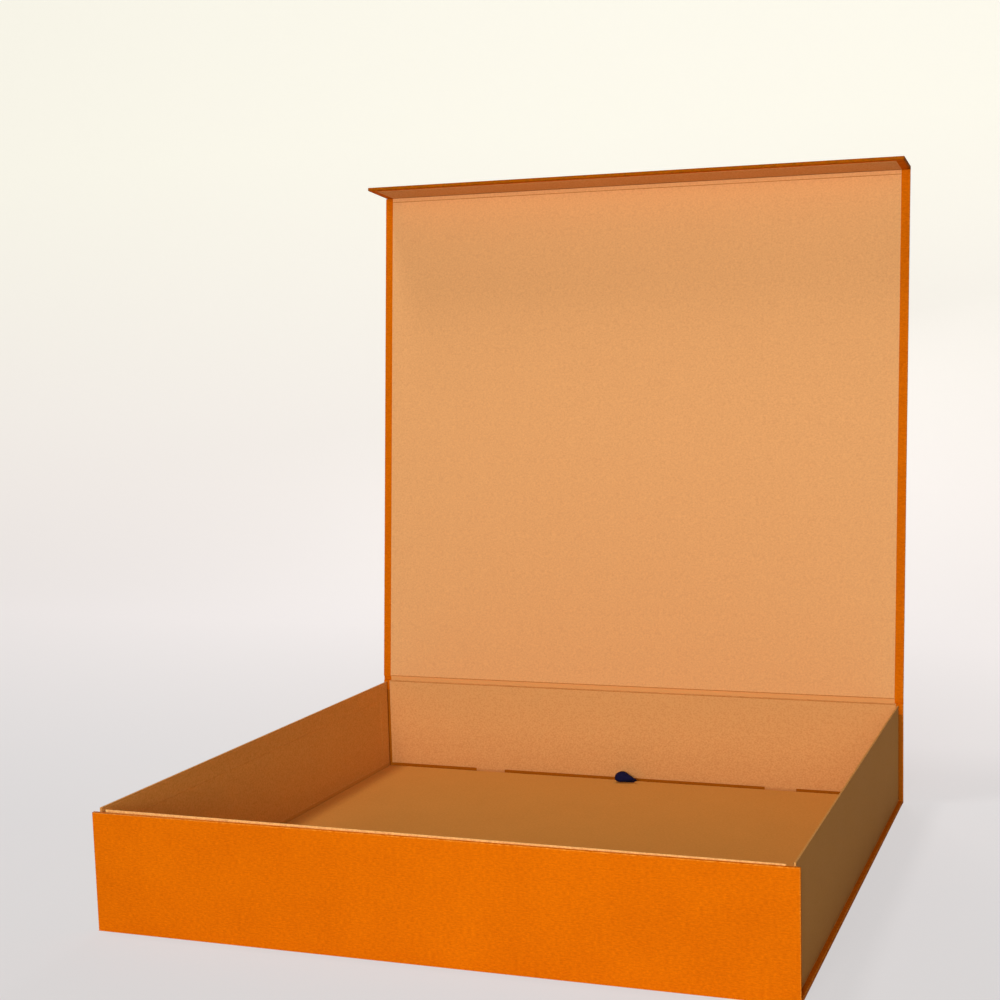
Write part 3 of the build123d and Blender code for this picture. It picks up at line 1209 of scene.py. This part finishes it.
    def back_card(self) -> bpy.types.Object:
        """Builds the liner card of the back wall, which stands on two feet behind the false bottom."""
        low, high = local_box("back_liner", BACK)
        outer, slot = low.y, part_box("floor_lining")[1].z + self.slot_height
        shape = bmesh.new()
        bmesh.ops.create_grid(shape, x_segments=1, y_segments=1, size=0.5)
        turn = Matrix.Rotation(math.pi / 2, 4, "X")
        size = Matrix.Diagonal((high.x - low.x, 1.0, high.z - low.z, 1.0))
        place = Matrix.Translation(Vector(((low.x + high.x) / 2, outer, (low.z + high.z) / 2)))
        bmesh.ops.transform(shape, matrix=place @ size @ turn, verts=shape.verts)
        cut(shape, 2, slot)
        for side in (-1, 1):
            for offset in (-self.foot_half, self.foot_half):
                cut(shape, 0, side * self.foot_centre + offset)
        below = [f for f in shape.faces if f.calc_center_median().z < slot and not self.over_foot(f)]
        bmesh.ops.delete(shape, geom=below, context="FACES")
        loose = [v for v in shape.verts if not v.link_faces]
        bmesh.ops.delete(shape, geom=loose, context="VERTS")
        bmesh.ops.recalc_face_normals(shape, faces=shape.faces)
        if shape.faces[:][0].normal.y > 0:
            bmesh.ops.reverse_faces(shape, faces=shape.faces[:])
        bmesh.ops.solidify(shape, geom=shape.faces[:], thickness=self.card)
        upward = [f for f in shape.faces if f.normal.z > SQUARE]
        top = [f for f in upward if f.calc_center_median().z > high.z - PAPER / 2]
        pull_region(shape, top, Vector((0, 0, PAPER)))
        backward = [f for f in shape.faces if f.normal.y > SQUARE]
        behind = [f for f in backward if f.calc_center_median().z > high.z]
        pull_region(shape, behind, Vector((0, self.lip, 0)))
        bmesh.ops.recalc_face_normals(shape, faces=shape.faces)
        rims = [e for e in shape.edges if max(v.co.y for v in e.verts) < outer + TOUCH]
        sharp = [e for e in rims if e.calc_face_angle(0.0) > SHARP]
        round_edges(shape, sharp, self.back_rounding, segments=2)
        mark_edges(shape, Vector((low.x, low.y, slot)), high, set(), self.back_soft)
        for vert in shape.verts:
            if abs(vert.co.z - slot) < self.slot_reach:
                vert.co.z -= self.slot_slope * (vert.co.x - low.x) / (high.x - low.x)
        bmesh.ops.transform(shape, matrix=BACK, verts=shape.verts)
        return new_mesh("back_card", shape)

    def over_foot(self, face: bmesh.types.BMFace) -> bool:
        """Whether a face of the card lies on one of its feet."""
        return abs(abs(face.calc_center_median().x) - self.foot_centre) < self.foot_half


@dataclass
class Lid:
    """Lid, flap and the papers of both creases.

    Attributes:
        dresser: what dresses the pieces.
        turn_in: how wide the turned-in margins are.
        flap_soft: how far the painted shade on the flap's rims reaches.
        lip: how far the linings reach over the boards' ends.
        crease: how far the inner paper of the lid's crease lies behind the outer face.
        crease_dip: how deep its outer paper is hollowed.
        still: the share of the crease next to the back wall that doesn't bend; not used.
        corner: the radius of the flap's crease outside.
        inner_depth: how deep the flap's inner crease paper lies.
        inner_gap: how far it starts from the lid's board.
        inner_sheet: how thick it is.
        line: how far the flap's line of painted shade lies from the lining's end.
        shade_line_width: how wide the lines of painted shade are.
        shade_line_sheet: how thick they are.
    """

    dresser: Dresser
    turn_in: float = 15 * MM
    flap_soft: float = 3.2 * MM
    lip: float = 2.0 * MM
    crease: float = 1.6 * MM
    crease_dip: float = 0.2 * MM
    still: float = 0.3
    corner: float = 0.5 * MM
    inner_depth: float = 0.3 * MM
    inner_gap: float = 0.1 * MM
    inner_sheet: float = 0.08 * MM
    line: float = 3.0 * MM
    shade_line_width: float = 0.45 * MM
    shade_line_sheet: float = 0.03 * MM

    def build(self) -> None:
        """Builds and dresses lid, flap and creases."""
        give = self.dresser.piece
        half = (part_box("lid_lining")[1].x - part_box("lid_lining")[0].x) / 2
        wrap = wrap_of("lid_board", LID, self.turn_in, cap_low=half, cap_high=half)
        give(wrap.build("lid_wrap", LID), COVER, "lid", "lid_cover")
        turn = wrap.width / 2 - self.turn_in
        lining = facing_of("lid_lining", LID, PAPER, turn_x=turn, lip_low=self.lip, lip_high=self.lip)
        give(lining.build("lid_paper", LID), LINING, "lid", "lid_lining")
        flap = wrap_of(
            "flap_board", FLAP, self.turn_in, wraps_high=True, cap_low=half, soft=self.flap_soft
        )
        # The flap's cover carries painted shade on its rims.
        give(flap.build("flap_wrap", FLAP), FLAP_SHADE, "flap", "flap_cover")
        facing = facing_of("flap_lining", FLAP, PAPER, turn_x=turn, lip_low=self.lip)
        facing.turn_high = flap.high - self.turn_in
        give(facing.build("flap_paper", FLAP), CARD, "flap", "flap_lining")
        self.lid_crease()
        self.flap_crease(wrap.width)
        self.crease_shades()
        for node in ("lid_board", "flap_board"):
            self.dresser.carried_over(node, BOARD)
        self.dresser.carried_over("flap_magnets", DISC)

    def lid_crease(self) -> None:
        """Builds the two papers between back wall and lid."""
        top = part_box("back_board")[1].z
        root = local_box("lid_board", LID)[0].z
        fill = self.crease - PAPER - self.crease_dip
        for name, node, finish, depth, paper, dip, outward in (
            ("lid_crease_outer", "lid_crease_cover", COVER, 0.0, fill, self.crease_dip, OUTWARD),
            ("lid_crease_inner", "lid_crease_lining", LIT_FOLD, self.crease, PAPER, 0.0, -OUTWARD),
        ):
            low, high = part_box(node)
            start = Vector((0.0, HALF_DEPTH - depth, top))
            end = LID @ Vector((0.0, -depth, root))
            piece = Strip(high.x - low.x, start, end, paper, outward, dip).build(name)
            self.dresser.piece(piece, finish, None, node)
            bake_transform(piece)

    def crease_shades(self) -> None:
        """Builds fine dark lines of painted shade in the linings along both creases."""
        lining, card = local_box("lid_lining", LID), local_box("back_liner", BACK)
        for name, place, body, (low, high), row in (
            ("flap_shade_line", LID, "lid", lining, lining[1].z - self.line),
            ("lid_shade_line_high", LID, "lid", lining, lining[0].z),
            ("lid_shade_line_low", BACK, "back_wall", card, card[1].z - self.shade_line_width),
        ):
            start = place @ Vector((0.0, low.y - self.shade_line_sheet, row))
            end = place @ Vector((0.0, low.y - self.shade_line_sheet, row + self.shade_line_width))
            width = high.x - low.x - self.shade_line_width
            line = Strip(width, start, end, self.shade_line_sheet, -OUTWARD, rows=1)
            self.dresser.piece(line.build(name), CREASE_SHADE, body)

    def flap_crease(self, width: float) -> None:
        """Builds the two papers between lid and flap."""
        end = local_box("lid_board", LID)[1].z
        outer = Corner(width, end, LID_LENGTH, 0.0, self.corner).build("flap_crease_outer", LID)
        self.dresser.piece(outer, COVER, None, "flap_crease_cover")
        low = LID @ Vector((0.0, 0.0, LID_LENGTH - self.corner))
        high = LID @ Vector((0.0, -self.corner, LID_LENGTH))
        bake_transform(outer)
        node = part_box("flap_crease_lining")
        low = LID @ Vector((0.0, -self.inner_depth, end + self.inner_gap))
        high = LID @ Vector((0.0, -self.inner_depth, LID_LENGTH - self.corner))
        inner = Strip(node[1].x - node[0].x, low, high, self.inner_sheet, -OUTWARD)
        piece = inner.build("flap_crease_inner")
        self.dresser.piece(piece, LINING, None, "flap_crease_lining")
        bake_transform(piece)


@dataclass
class SideWalls:
    """The two side walls, which fold in over the false bottom.

    Attributes:
        dresser: what dresses the pieces.
        turn_in: how wide the turned-in margins are.
        rounding: the radius of the walls' rims.
        soft: how far their pale colour reaches.
        rows: into how many rows a crease paper is cut, so that it can bend.
        bend_reach: how far above and below the fold it bends; not used.
        undercut: how far a sill is cut back along its outer foot.
    """

    dresser: Dresser
    turn_in: float = 12 * MM
    rounding: float = 0.38 * MM
    soft: float = 0.9 * MM
    rows: int = 10
    bend_reach: float = 0.5 * MM
    undercut: float = 0.7 * MM

    def build(self) -> None:
        """Builds and dresses both walls, the papers of their creases and the sills beneath them."""
        for side, name in ((-1, "left"), (1, "right")):
            place = side_place(side)
            body = "side_wall_" + name
            give = self.dresser.piece
            wrap = wrap_of(
                "side_board_" + name,
                place,
                self.turn_in,
                wraps_high=True,
                rounding=self.rounding,
                soft=self.soft,
            )
            give(wrap.build("side_wrap_" + name, place), SIDE, body, "side_cover_" + name)
            lining = facing_of("side_lining_" + name, place, PAPER)
            lining.turn_x = wrap.width / 2 - self.turn_in
            lining.turn_high = wrap.high - self.turn_in
            give(lining.build("side_paper_" + name, place), INSIDE, body, "side_lining_" + name)
            self.crease(name, place, body)
            self.sill(name, place)
            self.dresser.carried_over("side_board_" + name, BOARD)

    def crease(self, name: str, place: Matrix, body: str) -> None:
        """Builds the paper strip that a wall folds on."""
        node = "side_crease_" + name
        low, high = local_box(node, place)
        shape = block(low, high)
        for row in range(1, self.rows):
            cut(shape, 2, low.z + (high.z - low.z) * row / self.rows)
        shape.verts.layers.float.new(EDGE)
        bmesh.ops.transform(shape, matrix=place, verts=shape.verts)
        piece = new_mesh("side_hinge_" + name, shape)
        self.dresser.piece(piece, INSIDE, None, node)
        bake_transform(piece)

    def sill(self, name: str, place: Matrix) -> None:
        """Builds the paper-covered sill under a wall, cut back along its outer foot."""
        low, high = local_box("side_sill_" + name, place)
        shape = block(low, high)
        outer = [e for e in shape.edges if all(v.co.y > high.y - TOUCH for v in e.verts)]
        foot = [e for e in outer if all(v.co.z < low.z + TOUCH for v in e.verts)]
        round_edges(shape, foot, self.undercut, segments=1)
        shape.verts.layers.float.new(EDGE)
        bmesh.ops.transform(shape, matrix=place, verts=shape.verts)
        self.dresser.piece(new_mesh("side_foot_" + name, shape), SIDE, "base", "side_sill_" + name)


@dataclass
class FalseBottom:
    """The loose false bottom and its ribbon pull.

    The ribbon's loop lies over to the left on a slope. Its outline is a drop, round at the left
    and nearly pointed at the right.

    Attributes:
        dresser: what dresses the pieces.
        turn_in: how wide the turned-in margins are.
        columns: into how many pieces the loop is cut along its length.
        rows: into how many it is cut across.
        ribbon: how thick the ribbon is.
        ribbon_width: how wide it is.
        bulge: how far the loop's two layers stand apart at most, halved.
        front: how far the loop's lower edge lies in front of the rear edge.
        tip: the height of the loop's right end on the slope.
        slope: how steeply the loop rises to the back.
        gap: how far it lies above the false bottom.
        fullness: how much of its outline's length the loop fills, halved.
        flare: how fast its layers part at its ends.
        dark_rim: how far the painted shade on its rims reaches.
        root_shift: how far the tail and the root lie to the left of the loop's right end.
        root_reach: how far the root runs on over the false bottom.
        under_gap: how far below its node the tail lies.
        lower_bend: how high its first turn behind the rear edge rises.
        upper_bend: how far below the root its last turn starts.
        swell: how far behind the rear edge each of its turns lies.
    """

    dresser: Dresser
    turn_in: float = 12 * MM
    columns: int = 56
    rows: int = 8
    ribbon: float = 0.22 * MM
    ribbon_width: float = 10 * MM
    bulge: float = 0.85 * MM
    front: float = 8.8 * MM
    tip: float = 2.4 * MM
    slope: float = math.radians(38.0)
    gap: float = 0.35 * MM
    fullness: float = 0.49
    flare: float = 3.0
    dark_rim: float = 1.6 * MM
    root_shift: float = 3.5 * MM
    root_reach: float = 5.0 * MM
    under_gap: float = 0.03 * MM
    lower_bend: float = 0.3 * MM
    upper_bend: float = 0.1 * MM
    swell: tuple[float, ...] = (0.1 * MM, 0.5 * MM, 0.6 * MM, 0.45 * MM, -0.1 * MM)

    def build(self) -> None:
        """Builds and dresses the false bottom and the ribbon."""
        wrap = wrap_of("floor_board", FLOOR, self.turn_in, wraps_low=True, wraps_high=True)
        self.dresser.piece(wrap.build("floor_wrap", FLOOR), TRAY, "false_bottom", "floor_lining")
        self.dresser.carried_over("floor_board", BOARD)
        self.dresser.piece(self.loop(), RIBBON, "false_bottom", "ribbon_pull")
        self.dresser.piece(self.tail(), RIBBON, "false_bottom")

    def flanks(self, along: float, reach: float) -> tuple[float, float]:
        """The lower and the upper edge of the drop that the loop lies in.

        Args:
            along: how far the place is from the drop's round end.
            reach: how far its pointed end is.

        Returns:
            Both heights on the slope.
        """
        radius = self.ribbon_width / 2
        span = Vector((reach - radius, self.tip - radius))
        towards = math.atan2(span.y, span.x)
        spread = math.acos(radius / span.length)
        heights = []
        for turn in (-spread, spread):
            touch = radius + radius * math.cos(towards + turn)
            touch_height = radius + radius * math.sin(towards + turn)
            if along > touch:
                share = (along - touch) / (reach - touch)
                heights.append(touch_height + (self.tip - touch_height) * share)
            else:
                bow = math.sqrt(max(0.0, radius**2 - (along - radius) ** 2))
                heights.append(radius + math.copysign(bow, turn))
        return heights[0], heights[1]

    def loop(self) -> bpy.types.Object:
        """Builds the flattened loop, which lies over to the left and rises to the back.

        Returns:
            The new object.
        """
        low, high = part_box("ribbon_pull")
        floor_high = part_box("floor_lining")[1]
        reach = high.x - low.x
        shape = bmesh.new()
        bmesh.ops.create_grid(shape, x_segments=self.columns, y_segments=self.rows, size=0.5)
        upward = Vector((0.0, math.cos(self.slope), math.sin(self.slope)))
        outward = Vector((0.0, -math.sin(self.slope), math.cos(self.slope)))
        foot = Vector((low.x, floor_high.y - self.front, floor_high.z + self.gap))
        layer = shape.verts.layers.float.new(EDGE)
        for vert in shape.verts:
            turn = (vert.co.x + 0.5) * 2 * math.pi
            along = reach * (0.5 + self.fullness * math.cos(turn))
            lower, upper = self.flanks(along, reach)
            across = vert.co.y + 0.5
            pinch = math.sqrt(math.sin(math.pi * across) * math.sin(math.pi * along / reach))
            parted = pinch * min(1.0, abs(math.sin(turn)) * self.flare)
            off = self.bulge * (1 + math.copysign(parted, math.sin(turn)))
            rise = lower + (upper - lower) * across
            # The loop's rims are marked for painted shade.
            rim = min(along, (upper - lower) * min(across, 1 - across))
            vert[layer] = 1.0 - min(1.0, rim / self.dark_rim)
            vert.co = foot + Vector((along, 0, 0)) + upward * rise + outward * off
        bmesh.ops.remove_doubles(shape, verts=shape.verts, dist=TOUCH)
        bmesh.ops.recalc_face_normals(shape, faces=shape.faces)
        bmesh.ops.solidify(shape, geom=shape.faces[:], thickness=self.ribbon)
        return new_mesh("ribbon_loop", shape)

    def tail(self) -> bpy.types.Object:
        """Builds the tail under the false bottom, the riser in the slot and the root over the rear edge.

        Returns:
            The new object.
        """
        low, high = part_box("ribbon_pull")
        floor_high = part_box("floor_lining")[1]
        under = low.z - self.under_gap
        over = floor_high.z + self.gap
        edge = Vector((high.x - self.ribbon_width / 2 - self.root_shift, low.y, under))
        shape = bmesh.new()
        ends = [shape.verts.new(edge + Vector((side * self.ribbon_width / 2, 0, 0))) for side in (-1, 1)]
        line = [shape.edges.new(ends)]
        here = edge.yz
        heights = (under, under + self.lower_bend, floor_high.z, over - self.upper_bend, over, over)
        for behind, height in zip((*self.swell, -self.root_reach), heights):
            there = Vector((floor_high.y + behind, height))
            line = pull_edges(shape, line, Vector((0.0, *(there - here))))
            here = there
        bmesh.ops.recalc_face_normals(shape, faces=shape.faces)
        bmesh.ops.solidify(shape, geom=shape.faces[:], thickness=self.ribbon)
        shape.verts.layers.float.new(EDGE)
        return new_mesh("ribbon_root", shape)


# The backdrop's colours, linear, each with its share of the way from floor to wall.
BACKDROP = (
    (0.0, (0.62, 0.6, 0.595)),
    (0.1, (0.665, 0.645, 0.645)),
    (0.29, (0.825, 0.78, 0.765)),
    (0.51, (0.9, 0.85, 0.81)),
    (0.63, (0.925, 0.88, 0.825)),
    (1.0, (0.985, 0.96, 0.85)),
)


@dataclass(frozen=True)
class Lamp:
    """A soft rectangular lamp that shines on a target.

    Attributes:
        name: the lamp's name.
        place: where its middle is.
        target: the point that it faces.
        size: its width and height.
        power: its power, in watts.
    """

    name: str
    place: tuple[float, float, float]
    target: tuple[float, float, float]
    size: tuple[float, float]
    power: float

    def build(self) -> None:
        """Adds the lamp, which the camera doesn't see."""
        data = bpy.data.lights.new(self.name, "AREA")
        data.shape = "RECTANGLE"
        data.size, data.size_y = self.size
        data.energy = self.power
        made = bpy.data.objects.new(self.name, data)
        place = Vector(self.place)
        turn = (Vector(self.target) - place).to_track_quat("-Z", "Y").to_matrix().to_4x4()
        made.matrix_world = Matrix.Translation(place) @ turn
        made.visible_camera = False
        bpy.context.scene.collection.objects.link(made)


# Three lamps in front, one above, a weak one on the right and one behind.
LAMPS = (
    Lamp("front_lamp", (0.2, -1.4, 0.55), (0.0, 0.0, 0.1), (0.5, 0.4), 8.9),
    Lamp("wide_lamp", (0.1, -2.0, 0.9), (0.0, 0.0, 0.2), (1.6, 1.1), 8.0),
    Lamp("low_lamp", (0.3, -1.9, 0.35), (0.0, 0.0, 0.08), (0.6, 0.25), 7.5),
    Lamp("top_lamp", (-0.55, -0.1, 2.0), (0.0, 0.0, 0.0), (0.35, 0.35), 11.6),
    Lamp("side_lamp", (0.58, 0.8, 0.34), (0.2, 0.15, 0.05), (0.3, 0.3), 0.45),
    Lamp("back_lamp", (-0.3, 1.4, 0.8), (0.0, 0.2, 0.2), (0.6, 0.6), 6.0),
)


@dataclass
class Studio:
    """Floor, backdrop, lamps, camera and the room's weak light.

    Attributes:
        lens: the camera's focal length, in millimetres.
        sensor: the width of its sensor, in millimetres.
        shift: how far its picture is shifted sideways and up.
        stand: where it stands.
        yaw: how far it is turned from the Y axis.
        pitch: how far it looks up, which is below zero as it looks down.
        roll: how far it is rolled.
        floor_front: how far the floor runs to the front.
        floor_back: how far it runs to the back.
        sweep: the radius of the bend between floor and wall.
        steps: how many flat pieces the bend has.
        wall: how high the wall stands above the bend.
        half_width: half the width of both.
        rise_slope: how much the backdrop's grading goes by the distance to the back.
        rise_start: the height at which its first colour lies.
        rise_end: the height at which its last colour lies.
        glow: how bright the backdrop shows.
        shadow: how much of the light and shade on it shows.
        bounce: its colour for the light that it throws back.
        bounce_roughness: its roughness for that light.
        room_colour: the colour behind everything.
        room_light: how strongly the room lights the box.
    """

    lens: float = 56.645
    sensor: float = 36.0
    shift: tuple[float, float] = (-0.11165, 0.04709)
    stand: tuple[float, float, float] = (0.34468, -0.90526, 0.31003)
    yaw: float = -0.31685
    pitch: float = -0.115
    roll: float = -0.0203
    floor_front: float = 3.0
    floor_back: float = 1.0
    sweep: float = 0.8
    steps: int = 24
    wall: float = 2.4
    half_width: float = 4.0
    rise_slope: float = 0.35
    rise_start: float = -0.15
    rise_end: float = 1.35
    glow: float = 0.87
    shadow: float = 0.3
    bounce: tuple[float, float, float] = (0.6, 0.58, 0.56)
    bounce_roughness: float = 0.9
    room_colour: tuple[float, float, float] = (0.92, 0.89, 0.86)
    room_light: float = 0.06

    def build(self) -> None:
        """Builds the whole setting."""
        self.backdrop()
        for lamp in LAMPS:
            lamp.build()
        self.camera()
        self.world()
        bpy.context.scene.view_settings.view_transform = "Standard"

    def backdrop(self) -> None:
        """Builds a floor that sweeps up into a wall behind the object."""
        shape = bmesh.new()
        ends = [shape.verts.new((side * self.half_width, -self.floor_front, 0.0)) for side in (-1, 1)]
        run = Vector((0.0, self.floor_front + self.floor_back, 0.0))
        edges = pull_edges(shape, [shape.edges.new(ends)], run)
        centre = Vector((0.0, self.floor_back, self.sweep))
        edges = turn_edges(shape, edges, centre, math.pi / 2, self.steps)
        pull_edges(shape, edges, Vector((0.0, 0.0, self.wall)))
        bmesh.ops.recalc_face_normals(shape, faces=shape.faces)
        if shape.faces[:][0].normal.z < 0:
            bmesh.ops.reverse_faces(shape, faces=shape.faces[:])
        for face in shape.faces:
            face.smooth = True
        made = link_mesh("backdrop", shape)
        made.data.materials.append(self.backdrop_finish())

    def backdrop_finish(self) -> bpy.types.Material:
        """Makes the finish of floor and backdrop, pale and slightly graded.

        The camera sees a graded glow with some of the shade that falls on it. All other light
        meets a plain dull surface, so that the glow doesn't light the box.

        Returns:
            The new material.
        """
        surface = Surface("backdrop_finish")
        nodes = surface.nodes
        surface.put("Base Color", (*self.bounce, 1.0))
        surface.put("Roughness", self.bounce_roughness)
        split = nodes.add("SeparateXYZ")
        nodes.put(split.inputs[0], surface.where)
        rise = nodes.math("MULTIPLY_ADD", split.outputs["Y"], self.rise_slope, split.outputs["Z"])
        ramp = nodes.add("ValToRGB")
        share = nodes.spread(rise, low=self.rise_start, high=self.rise_end, to_low=0.0, to_high=1.0)
        nodes.put(ramp.inputs["Fac"], share)
        while len(ramp.color_ramp.elements) < len(BACKDROP):
            ramp.color_ramp.elements.new(0.5)
        for stop, (place, colour) in zip(ramp.color_ramp.elements, BACKDROP):
            stop.position = place
            stop.color = (*colour, 1.0)
        light = nodes.add("LightPath")
        seen = nodes.math("MAXIMUM", light.outputs["Is Camera Ray"], light.outputs["Is Glossy Ray"])
        seen = nodes.math("MAXIMUM", seen, light.outputs["Is Transmission Ray"])
        glow = nodes.add("Emission")
        nodes.put(glow.inputs["Color"], ramp.outputs["Color"])
        nodes.put(glow.inputs["Strength"], self.glow)
        faint = nodes.add("BsdfDiffuse")
        dimmed = nodes.mix(1.0, ramp.outputs["Color"], (*[self.shadow] * 3, 1.0), "MULTIPLY")
        nodes.put(faint.inputs["Color"], dimmed)
        both = nodes.add("AddShader")
        nodes.put(both.inputs[0], glow.outputs[0])
        nodes.put(both.inputs[1], faint.outputs[0])
        choice = nodes.add("MixShader")
        nodes.put(choice.inputs[0], seen)
        nodes.put(choice.inputs[1], surface.shader.outputs[0])
        nodes.put(choice.inputs[2], both.outputs[0])
        output = surface.made.node_tree.nodes["Material Output"]
        nodes.put(output.inputs["Surface"], choice.outputs[0])
        return surface.made

    def camera(self) -> None:
        """Places the camera at the viewing angle of the photograph."""
        ahead = Vector(
            (
                math.sin(self.yaw) * math.cos(self.pitch),
                math.cos(self.yaw) * math.cos(self.pitch),
                math.sin(self.pitch),
            )
        )
        right = Vector((math.cos(self.yaw), -math.sin(self.yaw), 0.0))
        above = right.cross(ahead)
        turned = math.cos(self.roll) * right + math.sin(self.roll) * above
        upward = -math.sin(self.roll) * right + math.cos(self.roll) * above
        data = bpy.data.cameras.new("camera")
        data.lens, data.sensor_width = self.lens, self.sensor
        data.shift_x, data.shift_y = self.shift
        made = bpy.data.objects.new("camera", data)
        view = Matrix((turned, upward, -ahead)).transposed()
        made.matrix_world = Matrix.Translation(self.stand) @ view.to_4x4()
        bpy.context.scene.collection.objects.link(made)
        bpy.context.scene.camera = made

    def world(self) -> None:
        """Fills the room with a weak even light and shows a pale colour behind everything."""
        world = bpy.data.worlds.new("room")
        world.use_nodes = True
        bpy.context.scene.world = world
        nodes = Nodes(world.node_tree)
        back = world.node_tree.nodes["Background"]
        light = nodes.add("LightPath")
        nodes.put(back.inputs["Color"], (*self.room_colour, 1.0))
        shown = nodes.spread(
            light.outputs["Is Camera Ray"], low=0.0, high=1.0, to_low=self.room_light, to_high=1.0
        )
        nodes.put(back.inputs["Strength"], shown)


def main() -> None:
    logging.basicConfig(level=logging.INFO, format="%(name)s: %(message)s")
    dresser = Dresser()
    Case(dresser).build()
    Lid(dresser).build()
    SideWalls(dresser).build()
    FalseBottom(dresser).build()
    Studio().build()


if __name__ == "__main__":
    main()
